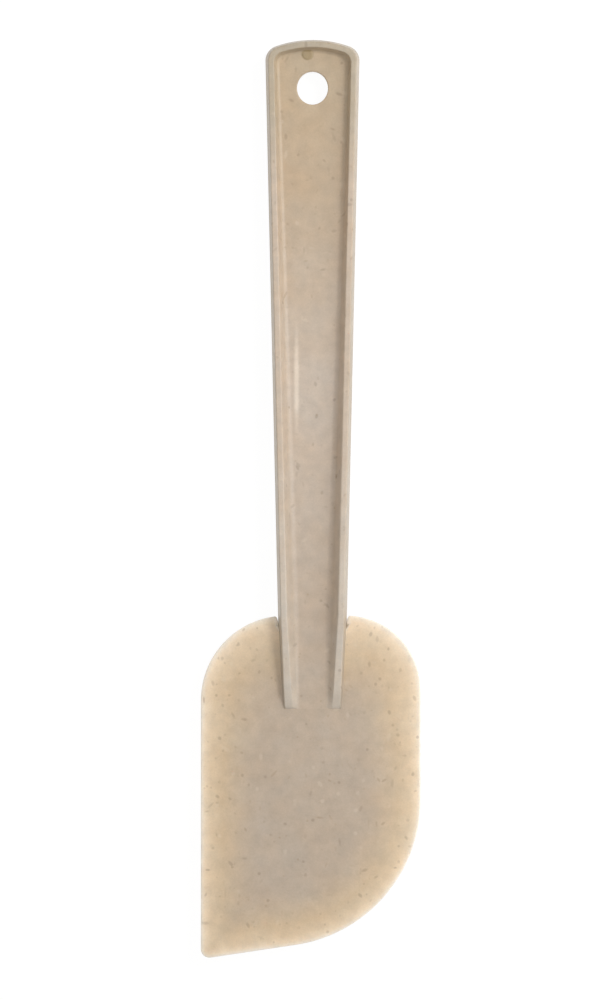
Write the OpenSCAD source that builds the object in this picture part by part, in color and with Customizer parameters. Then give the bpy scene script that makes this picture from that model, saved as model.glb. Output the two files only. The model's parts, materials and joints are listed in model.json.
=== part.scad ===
// Bowl scraper: a stiff handle of H section, with a thin flexible blade moulded round its tongue.
// Each piece is drawn about the middle plane of the tool, where its two faces are alike, and is
// then laid on the straight edges of the rims at its back. +Y runs towards the hanging end.

/* [Handle] */
// Length of the handle, from its crown to the shoulders of the blade
handle_len = 163.2; // [140:0.1:185]
// Width of the handle at its crown end, as if the corners were square
crown_w = 26.9; // [25:0.1:32]
// Width of the handle at the shoulders of the blade
neck_w = 19.5; // [18:0.1:23]
// How far the handle sits to the right of the middle of the blade
handle_off = 0.5; // [0:0.1:3]
// Radius of the arc that ends the handle
crown_r = 31; // [26:0.5:45]
// Radius of the two corners beside that arc
corner_r = 4.3; // [3:0.1:6]
// Thickness of the web, and of the middle of the blade
web_t = 2.6; // [2.2:0.1:3.4]
// Height of the rims above the web at the crown
rim_h_crown = 2.8; // [2:0.1:4]
// Height of the rims above the web at the neck, where they are highest
rim_h_neck = 4.6; // [4.2:0.1:6]
// Lean of the outer walls, from the parting line to the top of a rim
wall_lean = 1.2; // [0.6:0.1:1.6]
// Flat band at the parting line, from the front half to the back half
parting_t = 0.4; // [0.2:0.1:1]
// Width of a rim, from the parting line to where its inner wall drops
rim_w = 2.15; // [1.9:0.05:2.6]
// Inner wall of the rims in plan, at the crown
inner_wall_crown = 1.85; // [1:0.05:2.4]
// Inner wall of the rims in plan, at the neck
inner_wall_neck = 4.05; // [2.5:0.05:4.6]
// Radius of the channel's two corners at the crown
channel_corner_r = 2.2; // [1.2:0.1:3]

/* [Hanging hole] */
// Diameter of the hanging hole
hole_d = 9.1; // [6:0.1:11]
// Distance of its centre from the end of the crown
hole_from_end = 13.7; // [12:0.1:20]

/* [Gate mark] */
// Radius of the half-round step left by the gate
gate_r = 1.55; // [1:0.05:2]
// Height of that step above the web
gate_h = 0.5; // [0.2:0.1:1]
// Distance of the gate mark to the left of the handle's axis
gate_off = 1.4; // [0:0.1:4]

/* [Ribs on the blade] */
// Length of the ribs, from the shoulders of the blade to their ends
rib_len = 26.3; // [20:0.1:32]
// Width across both ribs at their ends
rib_end_w = 17.4; // [16.4:0.1:18.6]
// Height of the ribs above the blade, just before their ends
rib_h_end = 1.7; // [1:0.1:2.6]
// Length of the slope that ends each rib
rib_slope_len = 1.2; // [0.6:0.1:2]

/* [Tongue] */
// Thickness of the tongue inside the blade
tongue_t = 1.2; // [0.8:0.1:1.4]
// Width of the tongue
tongue_w = 30; // [24:0.5:33]
// Length of the tongue beyond the ends of the ribs
tongue_len = 21; // [15:0.5:26]
// Length of the tongue's wings beside the ribs
wing_len = 15; // [8:0.5:16]
// Radius of the tongue's corners
tongue_r = 3; // [1:0.5:5]
// Diameter of the keying holes
key_d = 4.5; // [3:0.1:5.5]
// Distance between keying holes
key_pitch = 9; // [8:0.1:10]

/* [Blade] */
// Length of the blade, from its shoulders to its lowest point
blade_len = 96.8; // [88:0.1:110]
// Width of the blade
blade_w = 62.2; // [58:0.1:76]
// Thickness of the blade at its edge
edge_t = 0.8; // [0.5:0.1:1.2]
// Width of the margin over which the blade thins to its edge
margin_w = 14; // [12:0.5:15]
// Part of that thinning that the inner half of the margin has
margin_share = 0.35; // [0.3:0.01:0.5]
// Radius of the left shoulder
left_shoulder_r = 24; // [20:0.5:28]
// Radius of the right shoulder
right_shoulder_r = 21; // [18:0.5:25]
// Radius of the big curve that leads from the right side to the bottom edge
belly_r = 41.5; // [32:0.5:48]
// Slope of the straight part of the bottom edge, in degrees
bottom_slope = 8.5; // [4:0.1:12]
// Radius of the square corner
tip_r = 2.4; // [1:0.1:5]
// Width of the notch between each shoulder and the handle
notch_w = 0.9; // [0.6:0.1:1.5]
// Depth of that notch
notch_d = 2.3; // [1.6:0.1:4]

/* [Hidden] */
handle_colour = "#c8b7a4";
blade_colour = "#cbb597";

arc_steps = 24;     // straight steps in each round stretch of an outline
skin = 0.01;        // thickness of the plates that a hull is stretched over
over = 1;           // how far a cutter runs past the face it cuts

tool_len = handle_len + blade_len;
top_y = tool_len / 2;
neck_y = top_y - handle_len;
tip_y = -tool_len / 2;
rib_end_y = neck_y - rib_len;
hole_y = top_y - hole_from_end;

crown_h = web_t / 2 + rim_h_crown;      // height of a rim above the middle plane
neck_h = web_t / 2 + rim_h_neck;
rib_end_h = web_t / 2 + rib_h_end;
rim_slope = atan((neck_h - crown_h) / handle_len);
rest_height = top_y * sin(rim_slope) + crown_h * cos(rim_slope);

blade_hw = blade_w / 2;
tip_centre = [-blade_hw + tip_r, tip_y + tip_r];
belly_x = blade_hw - belly_r;
// distance of the bottom edge from the origin, measured square to it
bottom_d = tip_r + tip_centre[0] * sin(bottom_slope) - tip_centre[1] * cos(bottom_slope);
belly_y = (belly_x * sin(bottom_slope) - bottom_d + belly_r) / cos(bottom_slope);

// Points of an arc from angle a to angle b
function arc(c, r, a, b) =
    [for (k = [0:arc_steps]) let (t = a + (b - a) * k / arc_steps) c + r * [cos(t), sin(t)]];

// Half the width of the grip at a height y, with its edge moved in at the crown and at the neck
function grip_x(y, in_crown, in_neck) =
    neck_w / 2 - in_neck
    + ((crown_w - neck_w) / 2 - in_crown + in_neck) * (y - neck_y) / handle_len;

// Height at which a corner of radius r touches both the side of the grip and the crown's arc
function corner_y(y, in_crown, in_neck, r, passes) =
    passes == 0 ? y
    : let (x = grip_x(y, in_crown, in_neck) - r)
      corner_y(top_y - crown_r + sqrt(pow(crown_r - in_crown - r, 2) - x * x),
               in_crown, in_neck, r, passes - 1);

// Outline of the grip in plan, moved in by one amount at the crown and another at the neck
function grip_outline(in_crown, in_neck, r) =
    let (cy = corner_y(top_y - crown_r / 4, in_crown, in_neck, r, 6),
         cx = grip_x(cy, in_crown, in_neck) - r,
         crown_c = [0, top_y - crown_r],
         touch = atan2(cy - crown_c[1], cx))
    concat([[grip_x(neck_y, in_crown, in_neck), neck_y]],
           arc([cx, cy], r, 0, touch),
           arc(crown_c, crown_r - in_crown, touch, 180 - touch),
           arc([-cx, cy], r, 180 - touch, 180),
           [[-grip_x(neck_y, in_crown, in_neck), neck_y]]);

// Outline of the blade in plan, moved in all round; each arc keeps its centre
function blade_outline(inset) =
    let (c = max(tip_r, inset),
         cx = -blade_hw + c,
         cy = (cx * sin(bottom_slope) - bottom_d + c) / cos(bottom_slope),
         bottom_a = bottom_slope - 90)
    concat(arc([-blade_hw + left_shoulder_r, neck_y - left_shoulder_r],
               left_shoulder_r - inset, 180, 90),
           arc([blade_hw - right_shoulder_r, neck_y - right_shoulder_r],
               right_shoulder_r - inset, 90, 0),
           arc([belly_x, belly_y], belly_r - inset, 0, bottom_a),
           arc([cx, cy], max(tip_r - inset, skin), bottom_a, -180));

// Cross-section of the ribs and the web between them: half width, height and lean of the walls
function section(hw, h, lean) =
    [[hw, parting_t / 2], [hw - lean, h], [lean - hw, h], [-hw, parting_t / 2],
     [-hw, -parting_t / 2], [lean - hw, -h], [hw - lean, -h], [hw, -parting_t / 2]];

// Lays the tool on the straight edges of its back rims
module lay()
    translate([0, 0, rest_height]) rotate([-rim_slope, 0, 0]) children();

// Stands a cross-section upright across the handle at y
module across(y, thick)
    translate([0, y + thick, 0]) rotate([90, 0, 0]) linear_extrude(thick) children();

// Puts a plan outline on the plane of the front rims, which rises from the crown to the neck
module on_rims(thick)
    translate([0, top_y, crown_h]) rotate([-rim_slope, 0, 0]) translate([0, -top_y, 0])
        linear_extrude(thick) children();

// Both faces of the tool
module both_faces() {
    children();
    mirror([0, 0, 1]) children();
}

// The handle without its channels: grip and ribs in one body, widest at the parting line
module handle_body() {
    wall_slope = wall_lean / (neck_h - parting_t / 2);
    translate([handle_off, 0, 0]) hull() {
        linear_extrude(parting_t, center = true) polygon(grip_outline(0, 0, corner_r));
        translate([0, 0, -skin]) on_rims(skin) polygon(grip_outline(wall_lean, wall_lean, corner_r - wall_lean));
        mirror([0, 0, 1])
            translate([0, 0, -skin]) on_rims(skin) polygon(grip_outline(wall_lean, wall_lean, corner_r - wall_lean));
        across(rib_end_y + rib_slope_len, skin)
            polygon(section(rib_end_w / 2, rib_end_h, wall_slope * (rib_end_h - parting_t / 2)));
        across(rib_end_y, skin)
            polygon(section(rib_end_w / 2 - rib_slope_len / 2, web_t / 2, wall_slope * web_t / 2));
    }
}

// The channel in the front of the grip, down to the web; its walls run on past the rims
module grip_channel() {
    in_crown = rim_w - inner_wall_crown * over / rim_h_crown;
    in_neck = rim_w - inner_wall_neck * over / rim_h_neck;
    translate([handle_off, 0, 0]) hull() {
        translate([0, 0, web_t / 2]) linear_extrude(skin)
            polygon(grip_outline(rim_w + inner_wall_crown, rim_w + inner_wall_neck, channel_corner_r));
        translate([0, 0, over]) on_rims(skin) polygon(grip_outline(in_crown, in_neck, channel_corner_r));
    }
}

// The channel goes on between the ribs with the same walls, and out over the blade
module rib_channel() {
    foot = neck_w / 2 - rim_w - inner_wall_neck;
    top = neck_w / 2 - rim_w + inner_wall_neck * over / rim_h_neck;
    translate([handle_off, 0, 0]) across(rib_end_y - over, rib_len + 2 * over)
        polygon([[-foot, web_t / 2], [foot, web_t / 2], [top, neck_h + over], [-top, neck_h + over]]);
}

// Flat tongue with keying holes; its wings lie beside the ribs, where the blade is thick enough
module tongue() {
    hw = tongue_w / 2;
    high = rib_end_y + wing_len;
    low = rib_end_y - tongue_len;
    difference() {
        translate([handle_off, 0, 0]) linear_extrude(tongue_t, center = true)
            polygon(concat(arc([hw - tongue_r, high - tongue_r], tongue_r, 90, 0),
                           arc([hw - tongue_r, low + tongue_r], tongue_r, 0, -90),
                           arc([tongue_r - hw, low + tongue_r], tongue_r, -90, -180),
                           arc([tongue_r - hw, high - tongue_r], tongue_r, 180, 90)));
        for (column = [-1:1], row = [0:1])
            translate([handle_off + column * key_pitch, low + key_pitch * (row + 0.6), 0])
                cylinder(h = web_t, d = key_d, center = true, $fn = 48);
    }
}

// Half-round step that the gate left at the foot of the crown's inner wall
module gate_mark()
    translate([handle_off - gate_off, top_y - rim_w - inner_wall_crown, 0])
        cylinder(h = web_t / 2 + gate_h, r = gate_r, $fn = 48);

// Notches that free the shoulders of the blade from the sides of the handle
module notches()
    for (side = [-1, 1])
        translate([handle_off + side * neck_w / 2, neck_y - notch_d + notch_w, 0]) {
            cylinder(h = web_t, r = notch_w, center = true, $fn = 48);
            translate([-notch_w, 0, -web_t / 2]) cube([2 * notch_w, notch_d, web_t]);
        }

module handle()
    color(handle_colour) lay() {
        difference() {
            union() {
                handle_body();
                tongue();
            }
            both_faces() {
                grip_channel();
                rib_channel();
            }
            translate([handle_off, hole_y, 0])
                cylinder(h = web_t + 2 * over, d = hole_d, center = true, $fn = 96);
        }
        gate_mark();
    }

module blade()
    color(blade_colour) lay() difference() {
        hull() {
            linear_extrude(edge_t, center = true) polygon(blade_outline(0));
            linear_extrude(web_t - (web_t - edge_t) * margin_share, center = true)
                polygon(blade_outline(margin_w / 2));
            linear_extrude(web_t, center = true) polygon(blade_outline(margin_w));
        }
        handle_body();
        tongue();
        notches();
    }

handle();
blade();
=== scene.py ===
import json
import math

import bmesh
import bpy
from mathutils import Matrix, Vector
from mathutils.geometry import delaunay_2d_cdt
from mathutils.kdtree import KDTree


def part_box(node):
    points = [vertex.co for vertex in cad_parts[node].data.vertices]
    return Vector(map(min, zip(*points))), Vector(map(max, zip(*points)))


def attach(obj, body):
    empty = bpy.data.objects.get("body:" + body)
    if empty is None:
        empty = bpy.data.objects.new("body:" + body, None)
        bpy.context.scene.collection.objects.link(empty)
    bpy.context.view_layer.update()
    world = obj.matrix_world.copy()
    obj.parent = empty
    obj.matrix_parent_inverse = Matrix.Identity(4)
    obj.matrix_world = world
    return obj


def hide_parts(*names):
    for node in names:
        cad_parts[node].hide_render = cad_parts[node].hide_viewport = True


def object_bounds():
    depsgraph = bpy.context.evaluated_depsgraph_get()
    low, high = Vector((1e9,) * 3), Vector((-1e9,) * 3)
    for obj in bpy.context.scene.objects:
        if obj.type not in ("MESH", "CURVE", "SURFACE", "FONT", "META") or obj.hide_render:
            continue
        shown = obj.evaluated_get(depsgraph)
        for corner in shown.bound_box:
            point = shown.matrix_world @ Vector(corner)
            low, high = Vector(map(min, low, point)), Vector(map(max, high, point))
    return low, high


# Bowl scraper: a stiff handle of H section, with a thin flexible blade moulded round its tongue.
# Both pieces are drawn in millimetres about the middle plane of the tool, where its two faces are
# alike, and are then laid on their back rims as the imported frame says.
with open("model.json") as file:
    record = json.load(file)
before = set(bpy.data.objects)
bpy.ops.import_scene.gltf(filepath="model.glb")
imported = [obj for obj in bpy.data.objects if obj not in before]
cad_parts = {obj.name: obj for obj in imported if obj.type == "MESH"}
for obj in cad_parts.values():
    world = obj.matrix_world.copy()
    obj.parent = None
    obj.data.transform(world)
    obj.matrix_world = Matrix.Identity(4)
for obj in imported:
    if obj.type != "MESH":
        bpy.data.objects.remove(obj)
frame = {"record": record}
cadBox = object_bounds()

# How the tool lies comes from the hanging hole, whose axis is square to the middle plane
hangHole = next(m for m in frame["record"]["mounts"] if m["name"] == "hang_hole")
leanSin, leanCos = hangHole["axis"][1], hangHole["axis"][2]
holeY = hangHole["pos_m"][1] * 1000 / leanCos
handleX = hangHole["pos_m"][0] * 1000
restHeight = hangHole["pos_m"][2] * 1000 + holeY * leanSin
layOut = (Matrix.Scale(0.001, 4) @ Matrix.Translation((0, 0, restHeight))
          @ Matrix.Rotation(-math.asin(leanSin), 4, "X"))

toolLength = round((cadBox[1].y - cadBox[0].y) * 1000, 1)
topY, tipY = toolLength / 2, -toolLength / 2


def addNode(tree, kind, sockets=None, **settings):
    # a socket gets a plain value, or a link from another node's output; a node stands for its first
    new = tree.nodes.new(kind)
    for name, value in settings.items():
        setattr(new, name, value)
    for name, value in (sockets or {}).items():
        if isinstance(value, bpy.types.Node):
            value = value.outputs[0]
        if isinstance(value, bpy.types.NodeSocket):
            tree.links.new(value, new.inputs[name])
        else:
            new.inputs[name].default_value = value
    return new


def linearColour(hexValue):
    parts = [int(hexValue[k:k + 2], 16) / 255 for k in (1, 3, 5)]
    return [p / 12.92 if p <= 0.04045 else ((p + 0.055) / 1.055) ** 2.4 for p in parts] + [1]


def newObject(name, mesh):
    piece = bpy.data.objects.new(name, mesh)
    bpy.context.scene.collection.objects.link(piece)
    return piece


def newMaterial(name):
    material = bpy.data.materials.new(name)
    material.use_nodes = True
    material.node_tree.nodes.clear()
    return material


def runTree(piece, tree, values):
    # gives a Geometry Nodes modifier its named inputs, and keeps what it makes as a plain mesh
    modifier = piece.modifiers.new(tree.name, "NODES")
    modifier.node_group = tree
    for item in tree.interface.items_tree:
        if item.in_out == "INPUT" and item.name in values:
            modifier[item.identifier] = values[item.name]
    return keepResult(piece)


def keepResult(piece):
    bpy.context.view_layer.update()
    made = bpy.data.meshes.new_from_object(piece.evaluated_get(bpy.context.evaluated_depsgraph_get()))
    piece.modifiers.clear()
    piece.data = made
    return piece


def closedMesh(bm, mesh):
    bmesh.ops.recalc_face_normals(bm, faces=bm.faces)
    bm.to_mesh(mesh)
    bm.free()


def combine(piece, other, operation):
    modifier = piece.modifiers.new("combine", "BOOLEAN")
    modifier.object, modifier.operation, modifier.solver = other, operation, "EXACT"
    return keepResult(piece)


def finishPiece(piece, sharpAngle):
    # lays the piece on the floor, and shades it smooth between its sharp edges, with flats kept flat
    mesh = piece.data
    bm = bmesh.new()
    bm.from_mesh(mesh)
    loose = sum(1 for edge in bm.edges if not edge.is_manifold)
    print(f"  {piece.name}: {len(bm.faces)} faces, {loose} open edges")
    bm.transform(layOut)
    bm.to_mesh(mesh)
    bm.free()
    mesh.polygons.foreach_set("use_smooth", [True] * len(mesh.polygons))
    mesh.set_sharp_from_angle(angle=math.radians(sharpAngle))
    piece.modifiers.new("flatsKeptFlat", "WEIGHTED_NORMAL").keep_sharp = True
    return keepResult(piece)


def arc(cx, cy, rx, ry, start, end, steps):
    # points of an elliptic arc, with its angles in degrees
    turns = [math.radians(start + (end - start) * k / steps) for k in range(steps + 1)]
    return [(cx + rx * math.cos(t), cy + ry * math.sin(t)) for t in turns]


def between(a, b, share):
    return a + (b - a) * share


# Materials

plasticLook = {
    "cool": "#f6fbff", "warm": "#fff8ee",       # clouds of tint, multiplied in
    # patterns: their size in millimetres, and how much fine detail they have
    "patterns": {"mottle": (9.0, 3.0), "blotch": (3.2, 2.0), "grain": (0.45, 2.0), "wave": (7.0, 1.0)},
    "shades": {"grain": (0.96, 1.03), "blotch": (0.93, 1.05)},      # darkest and lightest
    "bumps": {"wave": (0.25, 0.4), "grain": (0.22, 0.06)},          # strength, and height in mm
    "roughness": (0.38, 0.47), "refraction": 1.49,
    "lightInside": 0.12,        # how much light goes through the skin
    "lightReach": (1.6, 1.2, 0.8),      # how far it goes in millimetres: red, green and blue
    "fleck": "#77614b", "fibre": "#a18b72", "husk": "#e0d2bd",
    # layers of flecks: size of the mosaic's cells, share of them that hold a fleck, its half length
    # and half width, shift of the mosaic, tone and strength
    "fleckLayers": ((2.4, 0.60, 0.66, 0.34, 3.0, "fibre", 0.30),
                    (3.7, 0.75, 1.35, 0.48, 11.0, "fleck", 0.30),
                    (5.0, 0.75, 2.0, 0.36, 29.0, "fibre", 0.50),
                    (4.6, 0.60, 1.4, 0.60, 47.0, "husk", 0.20)),
    "fleckFade": (1.3, 0.5),    # a fleck fades in between these shares of its half size
    "fleckFull": 0.3,           # share of the flecks that have their full strength
    "patchFade": 1.3,           # how far a patch reaches, as a share of its half size
    "patchDepth": 1.2,          # how fast it fades through the web, so that the back stays clear
}
noiseLow, noiseHigh = 0.3, 0.7      # a noise pattern seldom leaves this range


def fleckMask(tree, millimetres, cell, share, halfLength, halfWidth, shift):
    # one fibre in some of the cells of a 3-D mosaic, each turned its own way, with a soft outline.
    # Where chance comes near the limit, the fibre is faint.
    moved = addNode(tree, "ShaderNodeMapping", {"Vector": millimetres, "Location": (shift, shift * 2, 0),
                                                "Scale": (1 / cell, 1 / cell, 1 / cell)})
    cells = addNode(tree, "ShaderNodeTexVoronoi", {"Vector": moved, "Scale": 1.0})
    chance = addNode(tree, "ShaderNodeTexWhiteNoise", {"Vector": cells.outputs["Position"]})
    offset = addNode(tree, "ShaderNodeVectorMath", {0: moved, 1: cells.outputs["Position"]},
                     operation="SUBTRACT")
    angles = addNode(tree, "ShaderNodeVectorMath", {0: cells.outputs["Color"], "Scale": math.tau},
                     operation="SCALE")
    turned = addNode(tree, "ShaderNodeVectorRotate", {"Vector": offset, "Rotation": angles},
                     rotation_type="EULER_XYZ")
    shape = addNode(tree, "ShaderNodeVectorMath",
                    {0: turned, 1: (cell / halfLength, cell / halfWidth, cell / halfWidth)},
                    operation="MULTIPLY")
    size = addNode(tree, "ShaderNodeVectorMath", {0: shape}, operation="LENGTH")
    outside, inside = plasticLook["fleckFade"]
    body = addNode(tree, "ShaderNodeMapRange", {"Value": size.outputs["Value"], "From Min": outside,
                                                "From Max": inside}, interpolation_type="SMOOTHSTEP")
    there = addNode(tree, "ShaderNodeMapRange", {"Value": chance.outputs["Value"], "From Min": share,
                                                 "From Max": share * plasticLook["fleckFull"]})
    return addNode(tree, "ShaderNodeMath", {0: body, 1: there}, operation="MULTIPLY")


def tonesBetween(tree, value, low, high, tones):
    # tones are pairs: a share of the way from low to high, and the colour there
    share = addNode(tree, "ShaderNodeMapRange", {"Value": value, "From Min": low, "From Max": high})
    ramp = addNode(tree, "ShaderNodeValToRGB", {"Fac": share})
    stops = ramp.color_ramp.elements
    stops[0].position, stops[1].position = tones[0][0], tones[-1][0]
    for position, _ in tones[1:-1]:
        stops.new(position)
    for stop, (_, tone) in zip(stops, tones):
        stop.color = linearColour(tone)
    return ramp


def patch(tree, millimetres, colour, place, half, core, tone):
    # an elliptic patch of another tone on the front of the web, which fades outwards from its core; it
    # carries the painted highlight beside the left wall and the painted shade on the gate's stump
    front = (place[0], place[1], restHeight + webHalf - place[1] * leanSin)
    moved = addNode(tree, "ShaderNodeVectorMath", {0: millimetres, 1: front}, operation="SUBTRACT")
    shrunk = addNode(tree, "ShaderNodeVectorMath",
                     {0: moved, 1: (1 / half[0], 1 / half[1], plasticLook["patchDepth"])},
                     operation="MULTIPLY")
    reach = addNode(tree, "ShaderNodeVectorMath", {0: shrunk}, operation="LENGTH")
    mark = addNode(tree, "ShaderNodeMapRange",
                   {"Value": reach.outputs["Value"], "From Min": plasticLook["patchFade"],
                    "From Max": core}, interpolation_type="SMOOTHSTEP")
    return addNode(tree, "ShaderNodeMix", {0: mark, 6: colour, 7: linearColour(tone)},
                   data_type="RGBA").outputs[2]


def strawFilledPlastic(name, baseColour, fleckAmount):
    # Plastic filled with ground straw, injection moulded: satin and a little cloudy, with dark flecks,
    # brown fibres up to 4 mm long and some pale bits of husk. The grain is drawn coarser than the
    # real 0.1 mm spark finish, so that it shows.
    material = newMaterial(name)
    tree = material.node_tree
    look = plasticLook
    place = addNode(tree, "ShaderNodeTexCoord")
    millimetres = addNode(tree, "ShaderNodeMapping", {"Vector": place.outputs["Object"],
                                                      "Scale": (1000, 1000, 1000)})
    patterns = {pattern: addNode(tree, "ShaderNodeTexNoise",
                                 {"Vector": millimetres, "Scale": 1 / size, "Detail": detail})
                for pattern, (size, detail) in look["patterns"].items()}
    tint = addNode(tree, "ShaderNodeMix", {0: patterns["mottle"], 6: linearColour(look["cool"]),
                                           7: linearColour(look["warm"])}, data_type="RGBA")
    colour = addNode(tree, "ShaderNodeMix", {0: 1.0, 6: baseColour(tree, millimetres),
                                             7: tint.outputs[2]},
                     data_type="RGBA", blend_type="MULTIPLY").outputs[2]
    for pattern, (darkest, lightest) in look["shades"].items():
        shade = addNode(tree, "ShaderNodeMapRange",
                        {"Value": patterns[pattern], "From Min": noiseLow, "From Max": noiseHigh,
                         "To Min": darkest, "To Max": lightest})
        colour = addNode(tree, "ShaderNodeVectorMath", {0: colour, "Scale": shade}, operation="SCALE")
    for cell, share, halfLength, halfWidth, shift, tone, strength in look["fleckLayers"]:
        mask = fleckMask(tree, millimetres, cell, share * fleckAmount, halfLength, halfWidth, shift)
        factor = addNode(tree, "ShaderNodeMath", {0: mask, 1: strength}, operation="MULTIPLY")
        colour = addNode(tree, "ShaderNodeMix", {0: factor, 6: colour, 7: linearColour(look[tone])},
                         data_type="RGBA").outputs[2]
    normal = {}
    for pattern, (strength, height) in look["bumps"].items():
        bump = addNode(tree, "ShaderNodeBump", {"Strength": strength, "Distance": height / 1000,
                                                "Height": patterns[pattern], **normal})
        normal = {"Normal": bump}
    sheen = addNode(tree, "ShaderNodeMapRange",
                    {"Value": patterns["mottle"], "From Min": noiseLow, "From Max": noiseHigh,
                     "To Min": look["roughness"][0], "To Max": look["roughness"][1]})
    skin = addNode(tree, "ShaderNodeBsdfPrincipled",
                   {"Base Color": colour, "Roughness": sheen, "IOR": look["refraction"],
                    "Subsurface Weight": look["lightInside"], "Subsurface Scale": 1.0,
                    "Subsurface Radius": [reach / 1000 for reach in look["lightReach"]], **normal})
    addNode(tree, "ShaderNodeOutputMaterial", {"Surface": skin})
    return material


# Handle: rims and ribs swept along one rail, then closed by the web with its hanging hole

handle = {
    "length": 163.2, "crownWidth": 26.9, "neckWidth": 19.5, "crownRadius": 31, "cornerRadius": 4.3,
    "webThickness": 2.6, "rimHeightCrown": 2.8, "rimHeightNeck": 4.6, "wallLean": 0.75,
    "rimWidth": 2.15, "innerWallCrown": 1.85, "innerWallNeck": 4.05, "channelCornerRadius": 2.2,
    "upperRounding": 0.15,      # radius at the top of an inner wall, as a share of its width
    "footRounding": 0.6,        # radius at its foot, as a share of its width
    "edgeRadius": 0.45,         # outer edge of a rim
    "flash": 0.06,              # how far the parting line stands out
    "flashHalf": 0.14,          # half its height
    "flashFlat": 0.4,           # how much of that is flat
    "ribLength": 26.3, "ribEndWidth": 17.4, "ribEndHeight": 1.7, "innerWallEnd": 2.3,
    "ribSinkLength": 6.0,       # the last stretch of a rib, where it sinks towards the blade
    "ribSink": 0.75,            # how much of its height it loses there
    "ribSlope": 0.4,            # length of the step that ends it
    "ribEndTaper": 0.25,        # how far the outer wall turns in at the end of a rib
    "holeAcross": 0.967,        # half axes of the hanging hole, as shares of its radius
    "holeAlong": 1.037,
    "holeLip": 0.3,
    "sharpAngle": 40,           # degrees
    # how many steps each stretch is drawn with: along the rail, round a section and round the hole
    "sideSteps": 26, "cornerSteps": 10, "crownSteps": 32, "ribSteps": 10, "ribSinkSteps": 8,
    "outerSteps": 4, "edgeSteps": 6, "upperSteps": 9, "footSteps": 8, "holeSteps": 72, "lipSteps": 4,
    # where painted light shows on a section, in points from the foot of its inner wall: the rim's painted
    # sheen is full from the first, and the painted shade of the outer wall begins at the second and is full
    # at the third
    "paintedLightPoints": (15, 20, 24),
    "toneReach": (-60.0, 125.0),        # the stretch that the next tones are spread over
    # the web, from the blade to the gate at the crown, with painted light in it: a pale painted sheen over
    # the middle of the grip, painted shade towards the blade, where the rims stand higher, and the warmest
    # tone towards the crown
    "webTones": ((0.05, "#bfae9c"), (0.5, "#cabbac"), (0.78, "#c0ab92"), (1.0, "#bfab90")),
    # the rims: a painted sheen, paler and greyer than the web, most of all at the neck, with painted shade
    # on the crown's rim
    "rimSheenShadeTones": ((0.15, "#cbbfb1"), (0.4, "#c9b8a6"), (0.8, "#c9b8a6"), (0.92, "#b6a995")),
    "flankShade": "#b4a796",     # outer walls: painted shade, darker than the rims
    # painted highlight: a pale streak where the foot of the left wall catches the light
    "footHighlight": "#e4d6c6", "footHighlightPlace": (-4.0, 33.6), "footHighlightHalf": (0.85, 15.0),
    "footHighlightCore": 0.2,        # how much of it has the full tone
    "fleckAmount": 0.7,         # its skin has fewer flecks than the blade's
}
neckY = topY - handle["length"]
ribEndY = neckY - handle["ribLength"]
slopeY = ribEndY + handle["ribSlope"]
webHalf = handle["webThickness"] / 2
channelX = handle["neckWidth"] / 2 - handle["rimWidth"] - handle["innerWallNeck"]


def handleColour(tree, millimetres):
    along = addNode(tree, "ShaderNodeSeparateXYZ", {"Vector": millimetres}).outputs["Y"]
    web = tonesBetween(tree, along, *handle["toneReach"], handle["webTones"])
    rims = tonesBetween(tree, along, *handle["toneReach"], handle["rimSheenShadeTones"])
    # the rims' tones come in by this mask: a painted sheen, with painted shade at the crown
    rimSheenAndShade = addNode(tree, "ShaderNodeAttribute", attribute_name="rimSheenAndShade")
    colour = addNode(tree, "ShaderNodeMix", {0: rimSheenAndShade.outputs["Fac"], 6: web, 7: rims},
                     data_type="RGBA").outputs[2]
    # painted shade on the outer walls, by this mask
    outer = addNode(tree, "ShaderNodeAttribute", attribute_name="flank")
    colour = addNode(tree, "ShaderNodeMix", {0: outer.outputs["Fac"], 6: colour,
                                             7: linearColour(handle["flankShade"])},
                     data_type="RGBA").outputs[2]
    # a painted highlight on the front: a pale streak beside the foot of the left wall
    colour = patch(tree, millimetres, colour, handle["footHighlightPlace"], handle["footHighlightHalf"],
                   handle["footHighlightCore"], handle["footHighlight"])
    # painted shade: the stump of the gate is darker, as it lies in the shade of the crown's wall, and partly
    # because its surface is torn
    gateX, gateY = gate["place"]
    return patch(tree, millimetres, colour, (handleX + gateX, gateY), (gate["radius"],) * 2,
                 gate["toneCore"], gate["tone"])


def gripHalfWidth(y, insetCrown, insetNeck):
    size = handle
    atNeck = size["neckWidth"] / 2 - insetNeck
    return between(atNeck, size["crownWidth"] / 2 - insetCrown, (y - neckY) / size["length"])


def gripCorner(insetCrown, insetNeck, radius):
    # centre of the arc that touches both the side of the grip and the crown, found in a few steps
    crownRadius = handle["crownRadius"]
    y = topY - crownRadius / 4
    for _ in range(6):
        x = gripHalfWidth(y, insetCrown, insetNeck) - radius
        y = topY - crownRadius + math.sqrt((crownRadius - insetCrown - radius) ** 2 - x * x)
    return gripHalfWidth(y, insetCrown, insetNeck) - radius, y


def gripRail(insetCrown, insetNeck, radius, ribXs, ribYs):
    # one rail from the end of the right rib, up and round the crown, to the end of the left rib
    x, y = gripCorner(insetCrown, insetNeck, radius)
    crownRadius, steps = handle["crownRadius"], handle["sideSteps"]
    touch = math.degrees(math.atan2(y - topY + crownRadius, x))
    sideYs = [between(neckY, y, k / steps) for k in range(steps)]
    side = [(gripHalfWidth(sideY, insetCrown, insetNeck), sideY) for sideY in sideYs]
    right = list(zip(ribXs, ribYs)) + side + arc(x, y, radius, radius, 0, touch, handle["cornerSteps"])
    crown = arc(0, topY - crownRadius, crownRadius - insetCrown, crownRadius - insetCrown,
                touch, 180 - touch, handle["crownSteps"])
    return right + crown[1:-1] + [(-px, py) for px, py in reversed(right)]


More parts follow.
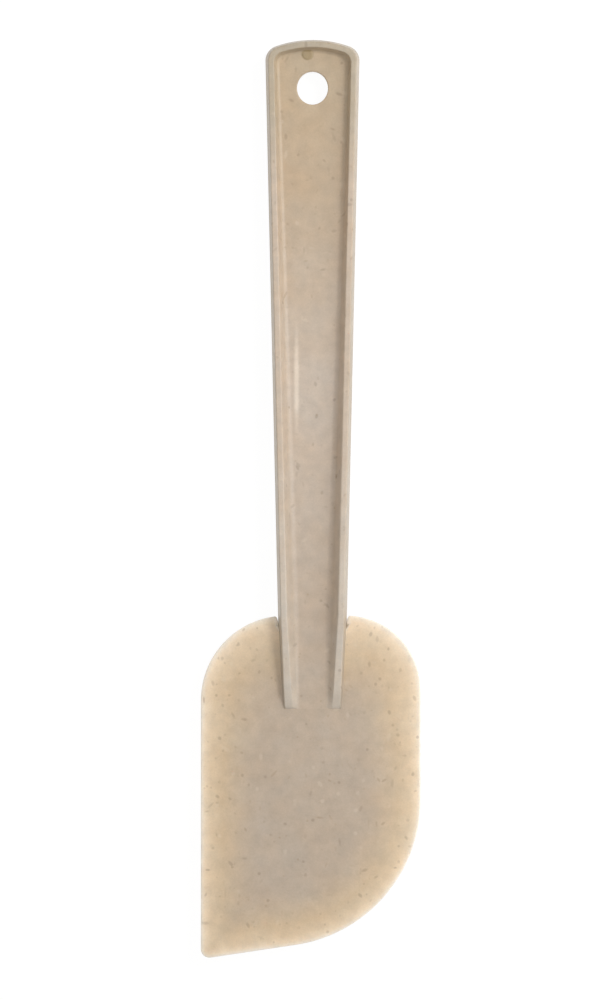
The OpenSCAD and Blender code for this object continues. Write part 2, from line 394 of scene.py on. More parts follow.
def rimSection(top, rim, wall):
    # half a rim in section: distance in from the parting line, and height above the middle plane
    size = handle
    lean, edge, flash, flashHalf = (size[name] for name in ("wallLean", "edgeRadius", "flash", "flashHalf"))
    upper, foot = size["upperRounding"] * wall, size["footRounding"] * wall
    steep = math.atan2(top - flashHalf, lean - flash)
    edgeX = lean + edge * math.tan(steep / 2)
    drop = top - webHalf
    reach = math.hypot(wall, upper + foot - drop)
    fall = math.degrees(math.asin((upper + foot) / reach) - math.atan2(upper + foot - drop, wall))
    rounded = arc(edgeX, top - edge, edge, edge, 90 + math.degrees(steep), 90, size["edgeSteps"])
    shares = [k / size["outerSteps"] for k in range(size["outerSteps"])]
    outside = [(between(flash, rounded[0][0], share), between(flashHalf, rounded[0][1], share))
               for share in shares]
    inside = (arc(rim, top - upper, upper, upper, 90, 90 - fall, size["upperSteps"])
              + arc(rim + wall, webHalf + foot, foot, foot, 270 - fall, 270, size["footSteps"]))
    return [(0, 0), (0, flashHalf * size["flashFlat"])] + outside + rounded + inside


def ribEnding(y):
    # 0 on a rib at its full height, and 1 at the foot of the step that ends it
    size = handle
    if y < slopeY:
        return between(size["ribSink"], 1.0, (slopeY - y) / size["ribSlope"])
    return size["ribSink"] * max(0.0, 1 - (y - slopeY) / size["ribSinkLength"]) ** 2


def flankX(y):
    # half width across the ribs at the parting line
    size = handle
    return (between(size["neckWidth"] / 2, size["ribEndWidth"] / 2, (neckY - y) / (neckY - slopeY))
            - size["ribEndTaper"] * ribEnding(y))


def railRows():
    # for each point of the rail: where it is, the way in to the channel, and which sections it mixes
    size = handle
    sinkY = slopeY + size["ribSinkLength"]
    ribYs = [ribEndY, between(ribEndY, slopeY, 0.5)]
    for low, high, steps in ((slopeY, sinkY, size["ribSinkSteps"]), (sinkY, neckY, size["ribSteps"])):
        ribYs += [between(low, high, k / steps) for k in range(steps)]
    outer = gripRail(0, 0, size["cornerRadius"], [flankX(y) for y in ribYs], ribYs)
    inner = gripRail(size["rimWidth"] + size["innerWallCrown"], size["rimWidth"] + size["innerWallNeck"],
                     size["channelCornerRadius"], [channelX] * len(ribYs), ribYs)
    rows = []
    for (ox, oy), (ix, iy) in zip(outer, inner):
        if oy >= neckY:
            atNeck = (topY - oy) / size["length"]
            shares = (1 - atNeck, atNeck, 0)
        else:
            atEnd = min(1, (neckY - oy) / (neckY - slopeY))
            ending = ribEnding(oy)
            shares = (0, (1 - atEnd) * (1 - ending), atEnd * (1 - ending))
        rows.append(((ox, oy, 0), (ix - ox, iy - oy, 0), shares))
    return rows


def lineMesh(name, points, **fields):
    mesh = bpy.data.meshes.new(name)
    mesh.from_pydata(points, [(k, k + 1) for k in range(len(points) - 1)], [])
    for field, values in fields.items():
        data = mesh.attributes.new(field, "FLOAT_VECTOR", "POINT").data
        data.foreach_set("vector", [part for value in values for part in value])
    return newObject(name, mesh)


def rimTree():
    # sweeps a section along a rail, and puts each ring in its place: the section's own four forms
    # are mixed by the shares on the rail, and its reach is fitted to the rail's way in
    tree = bpy.data.node_groups.new("rimSweep", "GeometryNodeTree")
    for name, kind in (("Rail", "Geometry"), ("Section", "Object"), ("Material", "Material")):
        tree.interface.new_socket(name=name, in_out="INPUT", socket_type="NodeSocket" + kind)
    tree.interface.new_socket(name="Rims", in_out="OUTPUT", socket_type="NodeSocketGeometry")
    given = addNode(tree, "NodeGroupInput")
    section = addNode(tree, "GeometryNodeObjectInfo", {"Object": given.outputs["Section"]})
    rail = addNode(tree, "GeometryNodeMeshToCurve", {"Mesh": given.outputs["Rail"]})
    profile = addNode(tree, "GeometryNodeMeshToCurve", {"Mesh": section.outputs["Geometry"]})
    swept = addNode(tree, "GeometryNodeCurveToMesh", {"Curve": rail, "Profile Curve": profile})
    forms = ("crown", "neck", "ribEnd", "ended")
    read = {name: addNode(tree, "GeometryNodeInputNamedAttribute", {"Name": name},
                          data_type="FLOAT_VECTOR")
            for name in ("place", "inward", "shares") + forms}
    shares = addNode(tree, "ShaderNodeSeparateXYZ", {"Vector": read["shares"]})
    some = addNode(tree, "ShaderNodeMath", {0: shares.outputs[0], 1: shares.outputs[1]})
    most = addNode(tree, "ShaderNodeMath", {0: some, 1: shares.outputs[2]})
    rest = addNode(tree, "ShaderNodeMath", {0: 1.0, 1: most}, operation="SUBTRACT")
    mixed = None
    for name, share in zip(forms, list(shares.outputs) + [rest.outputs[0]]):
        part = addNode(tree, "ShaderNodeVectorMath", {0: read[name], "Scale": share}, operation="SCALE")
        mixed = part if mixed is None else addNode(tree, "ShaderNodeVectorMath", {0: mixed, 1: part})
    form = addNode(tree, "ShaderNodeSeparateXYZ", {"Vector": mixed})
    reach = addNode(tree, "ShaderNodeMath", {0: form.outputs["X"], 1: form.outputs["Y"]},
                    operation="DIVIDE")
    across = addNode(tree, "ShaderNodeVectorMath", {0: read["inward"], "Scale": reach},
                     operation="SCALE")
    up = addNode(tree, "ShaderNodeCombineXYZ", {"Z": form.outputs["Z"]})
    flat = addNode(tree, "ShaderNodeVectorMath", {0: read["place"], 1: across})
    target = addNode(tree, "ShaderNodeVectorMath", {0: flat, 1: up})
    moved = addNode(tree, "GeometryNodeSetPosition", {"Geometry": swept, "Position": target})
    real = addNode(tree, "GeometryNodeRealizeInstances", {"Geometry": moved})
    done = addNode(tree, "GeometryNodeSetMaterial", {"Geometry": real,
                                                     "Material": given.outputs["Material"]})
    addNode(tree, "NodeGroupOutput", {"Rims": done})
    return tree


def bothHalves(half):
    # a whole section from its front foot over the parting line to its back foot. Y holds the reach
    # of the section, which the tree divides by.
    reach = half[-1][0]
    front = [(u, reach, z) for u, z in reversed(half)]
    return front + [(u, reach, -z) for u, z in half[1:]]


def makeHandle():
    size = handle
    endReach = size["ribEndWidth"] / 2 - channelX
    crown = rimSection(webHalf + size["rimHeightCrown"], size["rimWidth"], size["innerWallCrown"])
    neck = rimSection(webHalf + size["rimHeightNeck"], size["rimWidth"], size["innerWallNeck"])
    ribEnd = rimSection(webHalf + size["ribEndHeight"], endReach - size["innerWallEnd"],
                        size["innerWallEnd"])
    squeeze = 1 - size["ribEndTaper"] / endReach
    ended = [(u * squeeze, min(z, webHalf)) for u, z in ribEnd]
    forms = {"crown": crown, "neck": neck, "ribEnd": ribEnd, "ended": ended}
    forms = {name: bothHalves(half) for name, half in forms.items()}
    section = lineMesh("rimSection", [(u, z, 0) for u, _, z in forms["crown"]], **forms)
    places, inward, shares = zip(*railRows())
    piece = lineMesh("stiffHandle", places, place=places, inward=inward, shares=shares)
    runTree(piece, rimTree(), {"Section": section, "Material": handlePlastic})
    bpy.data.objects.remove(section)
    closeHandle(piece.data, len(places), len(forms["crown"]))
    return piece


def makeBore(bm):
    # rings of points down the hanging hole, with a rounded lip at both faces of the web
    lip, steps = handle["holeLip"], handle["lipSteps"]
    acrossHole = hangHole["dims"]["r_mm"] * handle["holeAcross"]
    alongHole = hangHole["dims"]["r_mm"] * handle["holeAlong"]
    levels = [(lip * (1 - math.cos(t)), webHalf - lip * (1 - math.sin(t)))
              for t in (math.pi / 2 * k / steps for k in range(steps, -1, -1))]
    levels += [(out, -z) for out, z in reversed(levels)]
    bore = []
    for out, z in levels:
        ring = arc(handleX, holeY, acrossHole + out, alongHole + out, 0, 360, handle["holeSteps"])[:-1]
        bore.append([bm.verts.new((x, y, z)) for x, y in ring])
    for upper, lower in zip(bore, bore[1:]):
        for k in range(len(upper)):
            bm.faces.new((upper[k - 1], upper[k], lower[k], lower[k - 1]))
    return bore


def closeHandle(mesh, rings, ringSize):
    # the web on both faces, with the hanging hole through it, and the end between the ribs
    bm = bmesh.new()
    bm.from_mesh(mesh)
    for layer in ("rimSheenAndShade", "flank"):
        bm.verts.layers.float.new(layer)
    rimSheenAndShade, flank = (bm.verts.layers.float[layer] for layer in ("rimSheenAndShade", "flank"))
    bm.verts.ensure_lookup_table()
    grid = [bm.verts[ring * ringSize:(ring + 1) * ringSize] for ring in range(rings)]
    bmesh.ops.translate(bm, vec=(handleX, 0, 0), verts=bm.verts)
    bore = makeBore(bm)
    for column, ring in ((0, bore[0]), (-1, bore[-1])):
        foot = [row[column] for row in grid]
        loops = [(a, b) for a, b in zip(foot, foot[1:])] + [(foot[-1], foot[0])]
        loops += [(ring[k - 1], ring[k]) for k in range(len(ring))]
        edges = [bm.edges.get(pair) or bm.edges.new(pair) for pair in loops]
        bmesh.ops.triangle_fill(bm, use_beauty=True, edges=edges, normal=(0, 0, 1))
    bm.faces.new(grid[0] + list(reversed(grid[-1])))
    # masks for painted light: the painted sheen on the rims, and the painted shade on the outer walls
    sheenFull, flankFrom, flankFull = handle["paintedLightPoints"]
    for row in grid:
        for column, vert in enumerate(row):
            fromFoot = min(column, ringSize - 1 - column)
            vert[rimSheenAndShade] = min(1, fromFoot / sheenFull)
            vert[flank] = min(1, max(0, (fromFoot - flankFrom) / (flankFull - flankFrom)))
    closedMesh(bm, mesh)


def plate(name, loops, low, high):
    # a flat plate: the first loop is its outline, the others are holes through it
    bm = bmesh.new()
    levels = [[[bm.verts.new((x, y, z)) for x, y in loop] for loop in loops] for z in (low, high)]
    for lower, upper in zip(*levels):
        for k in range(len(lower)):
            bm.faces.new((lower[k - 1], lower[k], upper[k], upper[k - 1]))
    for level in levels:
        edges = [bm.edges.get((ring[k - 1], ring[k])) for ring in level for k in range(len(ring))]
        bmesh.ops.triangle_fill(bm, use_beauty=True, edges=edges, normal=(0, 0, 1))
    mesh = bpy.data.meshes.new(name)
    closedMesh(bm, mesh)
    return newObject(name, mesh)


tonguePlate = {
    "thickness": 1.2, "width": 30,
    "length": 21, "wing": 15,   # how far it reaches below the ribs' ends, and up beside the ribs
    "corner": 3, "hole": 4.5, "pitch": 9,
    "firstRow": 0.6,            # from its lower end to the first row of holes, in pitches
    "cornerSteps": 8, "holeSteps": 32,
}


def makeTongue():
    # the plate that the blade is moulded round, with holes that its plastic keys into
    size = tonguePlate
    half, corner = size["width"] / 2, size["corner"]
    bottom, top = ribEndY - size["length"], ribEndY + size["wing"]
    outline = []
    for x, y, start in ((half - corner, top - corner, 0), (corner - half, top - corner, 90),
                        (corner - half, bottom + corner, 180), (half - corner, bottom + corner, 270)):
        outline += arc(handleX + x, y, corner, corner, start, start + 90, size["cornerSteps"])
    holes = [arc(handleX + column * size["pitch"], bottom + size["pitch"] * (row + size["firstRow"]),
                 size["hole"] / 2, size["hole"] / 2, 0, 360, size["holeSteps"])[:-1]
             for column in (-1, 0, 1) for row in (0, 1)]
    return plate("tongue", [outline] + holes, -size["thickness"] / 2, size["thickness"] / 2)


gate = {
    "place": (-1.4, 125.9), "radius": 1.55, "height": 0.2,
    "sunk": 0.4,                # how deep it goes into the web
    "rings": ((1.0, 0.55), (0.88, 0.88), (0.62, 1.0), (0.3, 0.8)),      # shares of radius and height
    "steps": 28,
    # painted shade, and partly the torn stump's own colour: the darker tone of the gate mark
    "tone": "#a5916f", "toneCore": 0.9,         # how much of it has the full tone
}


def makeGateMark():
    # the low round stump where the melt came in, half of it under the wall of the crown
    size = gate
    gateX, gateY = size["place"]
    bm = bmesh.new()
    rings = []
    levels = [(1.0, -size["sunk"])] + [(share, rise * size["height"]) for share, rise in size["rings"]]
    for share, z in levels:
        radius = size["radius"] * share
        ring = arc(handleX + gateX, gateY, radius, radius, 0, 360, size["steps"])[:-1]
        rings.append([bm.verts.new((x, y, webHalf + z)) for x, y in ring])
    for lower, upper in zip(rings, rings[1:]):
        for k in range(len(lower)):
            bm.faces.new((lower[k - 1], lower[k], upper[k], upper[k - 1]))
    bm.faces.new(rings[0])
    bm.faces.new(rings[-1])
    mesh = bpy.data.meshes.new("gateMark")
    closedMesh(bm, mesh)
    return newObject("gateMark", mesh)


# Stiff polypropylene: its colour changes along the grip, with painted sheen and painted shade on the web and
# the rims
handlePlastic = strawFilledPlastic("strawFilledPolypropylene", handleColour, handle["fleckAmount"])
print("handle's plastic mixed")

tongue = makeTongue()
gateMark = makeGateMark()
stiffHandle = makeHandle()
for part in (tongue, gateMark):
    combine(stiffHandle, part, "UNION")
finishPiece(stiffHandle, handle["sharpAngle"])
bpy.data.objects.remove(gateMark)
print("handle swept and closed")


# Blade: a flat sheet in the blade's outline, swollen to its thickness by a tree

blade = {
    "leftShoulder": 24, "rightShoulder": 21, "belly": 41.5, "bottomSlope": 8.5, "tipRadius": 2.4,
    "notchWidth": 1.0, "notchDepth": 2.8,
    "edgeThickness": 0.8, "middleThickness": handle["webThickness"],
    "margin": 17, "shoulderMargin": 26,         # how wide the thin margin is, low down and high up
    "marginChange": (42, 12),   # how far below the neck the one turns into the other
    "fall": 1.5,                # how fast the margin thins: 1 is a straight wedge
    "overlap": 0.03,            # how far the blade reaches into the handle, so that no gap shows
    "sharpAngle": 50,           # degrees
    "edgeStep": 1.3,            # distance between points along the edge
    "stepSlack": 0.05,          # how much longer a straight stretch may be, as a share of a step
    "notchSteps": 7, "tipSteps": 8,
    "slotStart": 2,             # how far below the notches the points along the ribs start
    "slotEnd": 0.3,             # how far above the step that ends the ribs the last one is
    "ribEndsStep": 2.0,         # distance between points along the ends of the ribs
    "noseRows": (0.04, 0.14, 0.3, 0.5, 0.75, 1.0),      # depths, as shares of the edge's radius
    "marginRows": (0.7, 1.2, 1.9, 2.8, 3.9, 5.2, 6.6, 8.1, 9.7, 11.4, 13.1, 14.6),      # depths
    "rowKeeps": 0.99,           # share of its depth that a point in a row keeps from all of the edge
    "rowClear": (0.3, 1.0),     # what it keeps from the handle: the first plus its depth, at most the second
    "thinFrom": 2.0,            # depth from which points that come too close together are left out
    "closest": 0.62,            # how close they may come there, as a share of the step at the edge
    "middleStep": 3.0,          # distance between points in the middle
    "middleFrom": 15.4,         # depth at which the middle begins
    "slotClear": 1.6,           # how far the middle's points stay clear of the handle
    "columns": 14,              # columns of them on either side
    "noThickness": 1e-4,        # below this thickness the two faces are joined
    "weld": 0.002,              # how far apart their points may be there
    "fleckAmount": 1.0,
    # from the free edge to the middle; the pale yellow near the edge is painted light that comes through the
    # thin blade
    "tones": ((0.0, "#f7ecde"), (0.1, "#eedabf"), (0.24, "#dfc9ab"), (0.5, "#d1ba9c"), (1.0, "#bbaa98")),
}


def bladeColour(tree, millimetres):
    # painted light: the thinner the blade, the more light comes through it, so its colour is painted paler
    # and yellower there
    thickness = addNode(tree, "ShaderNodeAttribute", attribute_name="thickness")
    return tonesBetween(tree, thickness.outputs["Fac"], blade["edgeThickness"],
                        blade["middleThickness"], blade["tones"])


def evenly(points, step):
    # adds points where a straight stretch is longer than a step
    result = [points[0]]
    for (ax, ay), (bx, by) in zip(points, points[1:]):
        pieces = math.ceil(math.hypot(bx - ax, by - ay) / step - blade["stepSlack"])
        result += [(between(ax, bx, k / pieces), between(ay, by, k / pieces))
                   for k in range(1, pieces + 1)]
    return result


def quarterSteps(radius):
    return round(math.pi / 2 * radius / blade["edgeStep"])


def bladeEdge():
    # the free edge, clockwise from the notch right of the handle to the notch left of it
    size = blade
    halfWidth = round((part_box("blade")[1].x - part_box("blade")[0].x) * 1000, 1) / 2
    belly, tip, slope = size["belly"], size["tipRadius"], math.radians(size["bottomSlope"])
    tipX, tipCentreY = tip - halfWidth, tipY + tip
    bottom = tip + tipX * math.sin(slope) - tipCentreY * math.cos(slope)
    bellyX = halfWidth - belly
    bellyY = (bellyX * math.sin(slope) - bottom + belly) / math.cos(slope)
    wide, deep = size["notchWidth"], size["notchDepth"]
    notch = flankX(neckY - deep) + wide
    sides = []
    for side, radius in ((1, size["rightShoulder"]), (-1, size["leftShoulder"])):
        notchX, centreX = handleX + side * notch, side * (halfWidth - radius)
        skipped = math.asin(side * (notchX - centreX) / radius)
        notchY = neckY - radius * (1 - math.cos(skipped)) - deep
        sides.append(arc(notchX, notchY, side * wide, deep, 180, 90, size["notchSteps"])
                     + arc(centreX, neckY - radius, side * radius, radius, 90 - math.degrees(skipped), 0,
                           quarterSteps(radius)))
    path = (sides[0] + arc(bellyX, bellyY, belly, belly, 0, size["bottomSlope"] - 90, quarterSteps(belly))
            + arc(tipX, tipCentreY, tip, tip, size["bottomSlope"] - 90, -180, size["tipSteps"])
            + sides[1][::-1])
    return evenly(path, size["edgeStep"])


def slotPath(deepest):
    # where the blade meets the handle, from the left notch round the ribs to the right notch, with a
    # point every millimetre along the ribs
    size = blade
    stations = [deepest - k for k in range(size["slotStart"], int(deepest - slopeY))]
    stations += [slopeY + size["slotEnd"], slopeY, ribEndY]
    left = [(handleX - flankX(y), y) for y in stations]
    right = [(handleX + flankX(y), y) for y in reversed(stations)]
    return left + evenly([left[-1], right[0]], size["ribEndsStep"])[1:-1] + right


def insidePolygon(x, y, polygon):
    inside = False
    for (ax, ay), (bx, by) in zip(polygon, polygon[1:] + polygon[:1]):
        if (ay > y) != (by > y) and x < ax + (y - ay) * (bx - ax) / (by - ay):
            inside = not inside
    return inside


def gapTo(points):
    # a function that measures how far a place is from the nearest of the points
    tree = KDTree(len(points))
    for k, (x, y) in enumerate(points):
        tree.insert((x, y, 0), k)
    tree.balance()

    def gap(x, y):
        return tree.find((x, y, 0))[2]

    return gap


def sheetPoints(edge, slot):
    # the outline, then rows of points along the free edge, close together at its rounded nose, then
    # the middle; and the links along the rows
    size = blade
    outline = edge + slot
    edgeGap, slotGap = gapTo(edge), gapTo(slot)
    points, links = list(outline), []
    nose = size["edgeThickness"] / 2
    leastClear, mostClear = size["rowClear"]
    for depth in [nose * share for share in size["noseRows"]] + list(size["marginRows"]):
        last = None
        for k in range(1, len(edge) - 1):
            (ax, ay), (bx, by) = edge[k - 1], edge[k + 1]
            span = math.hypot(bx - ax, by - ay)
            x = edge[k][0] + depth * (by - ay) / span
            y = edge[k][1] - depth * (bx - ax) / span
            clear = edgeGap(x, y) >= depth * size["rowKeeps"] and insidePolygon(x, y, outline)
            if not clear or slotGap(x, y) < min(mostClear, leastClear + depth):
                last = None
                continue
            if depth > size["thinFrom"] and last is not None:
                if math.dist(points[last], (x, y)) < size["closest"] * size["edgeStep"]:
                    continue
            points.append((x, y))
            if last is not None:
                links.append((last, len(points) - 1))
            last = len(points) - 1
    step = size["middleStep"]
    for row in range(int(tipY / step), int(neckY / step) + 1):
        for column in range(-size["columns"], size["columns"] + 1):
            x, y = (column + 0.5 * (row % 2)) * step, row * step
            inMiddle = insidePolygon(x, y, outline) and edgeGap(x, y) > size["middleFrom"]
            if inMiddle and slotGap(x, y) > size["slotClear"]:
                points.append((x, y))
    return points, links


def bladeSheet():
    # a flat triangulated sheet, with its free edges marked
    edge = bladeEdge()
    slot = slotPath(edge[0][1])
    points, links = sheetPoints(edge, slot)
    anticlockwise = list(range(len(edge) + len(slot)))[::-1]
    insideOnly, tolerance = 1, 1e-5
    verts, _, faces, source, _, within = delaunay_2d_cdt([Vector(p) for p in points], links,
                                                         [anticlockwise], insideOnly, tolerance, True)
    faces = [face for face, ids in zip(faces, within) if ids]
    mesh = bpy.data.meshes.new("flexibleBlade")
    mesh.from_pydata([(v.x, v.y, 0) for v in verts], [], faces)
    free = [any(k < len(edge) for k in ids) for ids in source]
    uses = {}
    for face in faces:
        for pair in zip(face, face[1:] + face[:1]):
            uses[frozenset(pair)] = uses.get(frozenset(pair), 0) + 1
    mark = mesh.attributes.new("freeEdge", "BOOLEAN", "EDGE").data
    for k, item in enumerate(mesh.edges):
        a, b = item.vertices
        mark[k].value = free[a] and free[b] and uses[frozenset((a, b))] == 1
    return newObject("flexibleBlade", mesh)


def bladeTree():
    # half the thickness at a point follows from its distance to the free edge: a round nose, then
    # a swell over the margin
    tree = bpy.data.node_groups.new("bladeSwell", "GeometryNodeTree")
    for name, kind in (("Sheet", "Geometry"), ("Edge thickness", "Float"), ("Middle thickness", "Float"),
                       ("Margin", "Float"), ("Shoulder margin", "Float"), ("Fall", "Float"),
                       ("Material", "Material")):
        tree.interface.new_socket(name=name, in_out="INPUT", socket_type="NodeSocket" + kind)
    tree.interface.new_socket(name="Blade", in_out="OUTPUT", socket_type="NodeSocketGeometry")
    given = addNode(tree, "NodeGroupInput")
    edgeThickness = given.outputs["Edge thickness"]
    free = addNode(tree, "GeometryNodeInputNamedAttribute", {"Name": "freeEdge"}, data_type="BOOLEAN")
    edge = addNode(tree, "GeometryNodeSeparateGeometry", {"Geometry": given.outputs["Sheet"],
                                                          "Selection": free}, domain="EDGE")
    near = addNode(tree, "GeometryNodeProximity", {0: edge}, target_element="EDGES")
    distance = near.outputs["Distance"]

    # the nose is a quarter circle: the root of 1 less the square of what is left of its radius
    radius = addNode(tree, "ShaderNodeMath", {0: edgeThickness, 1: 0.5}, operation="MULTIPLY")
    into = addNode(tree, "ShaderNodeMath", {0: distance, 1: radius}, operation="DIVIDE", use_clamp=True)
    short = addNode(tree, "ShaderNodeMath", {0: 1.0, 1: into}, operation="SUBTRACT")
    square = addNode(tree, "ShaderNodeMath", {0: short, 1: short}, operation="MULTIPLY")
    less = addNode(tree, "ShaderNodeMath", {0: 1.0, 1: square}, operation="SUBTRACT", use_clamp=True)
    nose = addNode(tree, "ShaderNodeMath", {0: less}, operation="SQRT")

    # the margin is wider at the shoulders
    position = addNode(tree, "GeometryNodeInputPosition")
    along = addNode(tree, "ShaderNodeSeparateXYZ", {"Vector": position})
    lowest, highest = (neckY - below for below in blade["marginChange"])
    margin = addNode(tree, "ShaderNodeMapRange",
                     {"Value": along.outputs["Y"], "From Min": lowest, "From Max": highest,
                      "To Min": given.outputs["Margin"], "To Max": given.outputs["Shoulder margin"]})
    across = addNode(tree, "ShaderNodeMath", {0: distance, 1: margin}, operation="DIVIDE", use_clamp=True)
    remaining = addNode(tree, "ShaderNodeMath", {0: 1.0, 1: across}, operation="SUBTRACT")
    fallen = addNode(tree, "ShaderNodeMath", {0: remaining, 1: given.outputs["Fall"]}, operation="POWER")
    swell = addNode(tree, "ShaderNodeMath", {0: 1.0, 1: fallen}, operation="SUBTRACT")
    more = addNode(tree, "ShaderNodeMath", {0: given.outputs["Middle thickness"], 1: edgeThickness},
                   operation="SUBTRACT")
    moreHalf = addNode(tree, "ShaderNodeMath", {0: more, 1: 0.5}, operation="MULTIPLY")

    noseHalf = addNode(tree, "ShaderNodeMath", {0: nose, 1: radius}, operation="MULTIPLY")
    swellHalf = addNode(tree, "ShaderNodeMath", {0: swell, 1: moreHalf}, operation="MULTIPLY")
    half = addNode(tree, "ShaderNodeMath", {0: noseHalf, 1: swellHalf}, operation="ADD")
    whole = addNode(tree, "ShaderNodeMath", {0: half, 1: 2.0}, operation="MULTIPLY")
    kept = addNode(tree, "GeometryNodeStoreNamedAttribute",
                   {"Geometry": given.outputs["Sheet"], "Name": "thickness", "Value": whole},
                   data_type="FLOAT", domain="POINT")
    thick = addNode(tree, "GeometryNodeInputNamedAttribute", {"Name": "thickness"}, data_type="FLOAT")
    sheets = []
    for side in (0.5, -0.5):
        height = addNode(tree, "ShaderNodeMath", {0: thick, 1: side}, operation="MULTIPLY")
        lift = addNode(tree, "ShaderNodeCombineXYZ", {"Z": height})
        sheets.append(addNode(tree, "GeometryNodeSetPosition", {"Geometry": kept, "Offset": lift}))
    back = addNode(tree, "GeometryNodeFlipFaces", {"Mesh": sheets[1]})
    joined = addNode(tree, "GeometryNodeJoinGeometry", {"Geometry": sheets[0]})
    tree.links.new(back.outputs[0], joined.inputs[0])
    thin = addNode(tree, "ShaderNodeMath", {0: thick, 1: blade["noThickness"]}, operation="LESS_THAN")
    merged = addNode(tree, "GeometryNodeMergeByDistance", {"Geometry": joined, "Selection": thin,
                                                           "Distance": blade["weld"]})
    real = addNode(tree, "GeometryNodeRealizeInstances", {"Geometry": merged})
    done = addNode(tree, "GeometryNodeSetMaterial", {"Geometry": real,
                                                     "Material": given.outputs["Material"]})
    addNode(tree, "NodeGroupOutput", {"Blade": done})
    return tree


def makeBlade():
    size = blade
    piece = bladeSheet()
    runTree(piece, bladeTree(), {"Edge thickness": size["edgeThickness"],
                                 "Middle thickness": size["middleThickness"],
                                 "Margin": size["margin"], "Shoulder margin": size["shoulderMargin"],
                                 "Fall": size["fall"], "Material": bladePlastic})
    closeSlot(piece.data)
    return piece


def closeSlot(mesh):
    # the walls against the handle, which lean as its flanks do: widest at the parting line
    bm = bmesh.new()
    bm.from_mesh(mesh)
    openEdges = [edge for edge in bm.edges if edge.is_boundary]
    rim = {vert for edge in openEdges for vert in edge.verts}
    upper = {(round(v.co.x, 4), round(v.co.y, 4)): v for v in rim if v.co.z >= 0}
    lower = {(round(v.co.x, 4), round(v.co.y, 4)): v for v in rim if v.co.z <= 0}
    thickness = bm.verts.layers.float["thickness"]
    middle = {}
    for key, vert in upper.items():
        # at the notches, where the slot meets the free edge, both faces share one point
        middle[key] = vert if lower[key] is vert else bm.verts.new((vert.co.x, vert.co.y, 0))
        middle[key][thickness] = vert[thickness]
    keyOf = {v: key for sheet in (upper, lower) for key, v in sheet.items()}
    for edge in openEdges:
        a, b = (keyOf[v] for v in edge.verts)
        ring = [edge.verts[0], edge.verts[1], middle[b], middle[a]]
        bm.faces.new(list(dict.fromkeys(ring)))
    size = handle
    for sheet in (upper, lower):
        for (x, y), vert in sheet.items():
            share = min(1, (neckY - y) / (neckY - slopeY))
            rise = between(size["rimHeightNeck"], size["ribEndHeight"], share) + webHalf
            shift = (size["wallLean"] - size["flash"]) / rise * abs(vert.co.z) + size["flash"]
            shift += blade["overlap"]
            vert.co.x = between(x, handleX, shift / flankX(y))
    closedMesh(bm, mesh)


# Soft elastomer with the same straw in it: painted paler where it is thin, for the light that comes through
bladePlastic = strawFilledPlastic("strawFilledElastomer", bladeColour, blade["fleckAmount"])
print("blade's plastic mixed")

flexibleBlade = makeBlade()
combine(flexibleBlade, tongue, "DIFFERENCE")
finishPiece(flexibleBlade, blade["sharpAngle"])
bpy.data.objects.remove(tongue)
print("blade swollen and closed")

for piece, node, slot in ((stiffHandle, "handle", "handle_plastic"),
                          (flexibleBlade, "blade", "blade_plastic")):
    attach(piece, "root")
    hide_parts(node)
print("pieces placed on the frame")


# Stage: camera, floor, lamps

stage = {
    "photoWidth": 612, "photoHeight": 1000,     # pixels
    "toolCentre": (310.7, 498.45),      # where the photograph has the frame's origin, in pixels
    "mmPerPixel": 0.2833,       # the tool's length over its length in the photograph
    "lens": 200, "film": 36,    # millimetres, the film along the height of the photograph
    "sight": 20,                # how far the camera sees, in metres
    "white": "#ffffff", "ambient": 0.56,
    "floorHalf": 3,             # metres
    "floorShade": 0.85,         # how much of the light the floor gives back
    "floorGlow": 0.45,
    "floorWhite": 0.9,          # how white the floor looks to the camera; the rest is its real shade
    # places and sizes of the lamps in metres, and their power; each aims at the middle of the tool
    "lamps": {"keyLamp": ((0.53, 0.36, 0.78), (0.3, 0.3), 3.8),
              "sideLamp": ((0.9, 0.2, 0.46), (0.6, 0.7), 2.75),
              "topLamp": ((0.0, 0.14, 1.2), (0.3, 0.3), 0.9)},
}


def addCamera():
    data = bpy.data.cameras.new("camera")
    data.lens, data.sensor_width, data.clip_end = stage["lens"], stage["film"], stage["sight"]
    camera = bpy.data.objects.new("camera", data)
    centreX, centreY = stage["toolCentre"]
    aside = (stage["photoWidth"] / 2 - centreX) * stage["mmPerPixel"]
    upwards = (centreY - stage["photoHeight"] / 2) * stage["mmPerPixel"]
    away = stage["lens"] / stage["film"] * stage["photoHeight"] * stage["mmPerPixel"] + restHeight
    camera.location = (aside / 1000, upwards / 1000, away / 1000)
    bpy.context.scene.collection.objects.link(camera)
    bpy.context.scene.camera = camera


def addLamp(name, place, size, power):
    data = bpy.data.lights.new(name, "AREA")
    data.shape, data.size, data.size_y = "RECTANGLE", size[0], size[1]
    data.energy = power
    lamp = bpy.data.objects.new(name, data)
    lamp.location = place
    lamp.rotation_euler = (-Vector(place)).to_track_quat("-Z", "Y").to_euler()
    bpy.context.scene.collection.objects.link(lamp)


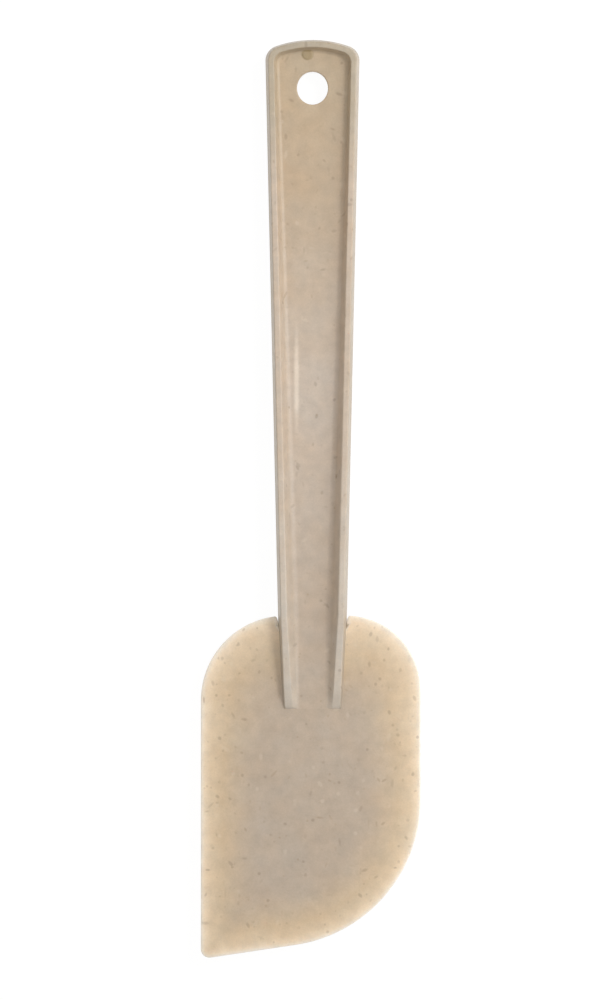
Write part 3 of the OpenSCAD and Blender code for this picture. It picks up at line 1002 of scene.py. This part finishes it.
def seenAsWhite(tree, shader, white):
    # what looks straight at it, or sees it in gloss or through glass, gets white, with a part of the
    # real shader
    path = addNode(tree, "ShaderNodeLightPath")
    seen = path.outputs["Is Camera Ray"]
    for kind in ("Is Glossy Ray", "Is Transmission Ray"):
        seen = addNode(tree, "ShaderNodeMath", {0: seen, 1: path.outputs[kind]}, operation="MAXIMUM")
    share = addNode(tree, "ShaderNodeMath", {0: seen, 1: white}, operation="MULTIPLY")
    glow = addNode(tree, "ShaderNodeEmission", {"Color": linearColour(stage["white"]), "Strength": 1.0})
    return addNode(tree, "ShaderNodeMixShader", {0: share, 1: shader, 2: glow})


def backlitAcrylic():
    # White acrylic sheet over a light box: matt, and glowing a little by itself
    material = newMaterial("backlitAcrylic")
    tree = material.node_tree
    white = linearColour(stage["white"])
    skin = addNode(tree, "ShaderNodeBsdfDiffuse", {"Color": [part * stage["floorShade"] for part in white]})
    glow = addNode(tree, "ShaderNodeEmission", {"Color": white, "Strength": stage["floorGlow"]})
    both = addNode(tree, "ShaderNodeAddShader", {0: skin, 1: glow})
    addNode(tree, "ShaderNodeOutputMaterial", {"Surface": seenAsWhite(tree, both, stage["floorWhite"])})
    return material


def addFloor():
    half = stage["floorHalf"]
    mesh = bpy.data.meshes.new("floor")
    mesh.from_pydata([(-half, -half, 0), (half, -half, 0), (half, half, 0), (-half, half, 0)], [],
                     [(0, 1, 2, 3)])
    mesh.materials.append(backlitAcrylic())
    floor = newObject("floor", mesh)


def addWorld():
    world = bpy.data.worlds.new("studio")
    bpy.context.scene.world = world
    world.use_nodes = True
    tree = world.node_tree
    tree.nodes.clear()
    ambient = addNode(tree, "ShaderNodeBackground", {"Color": linearColour(stage["white"]),
                                                     "Strength": stage["ambient"]})
    addNode(tree, "ShaderNodeOutputWorld", {"Surface": seenAsWhite(tree, ambient, 1.0)})


addCamera()
addFloor()
addWorld()
for name, (place, size, power) in stage["lamps"].items():
    addLamp(name, place, size, power)
print("stage lit")

bpy.context.scene.view_settings.view_transform = "Standard"
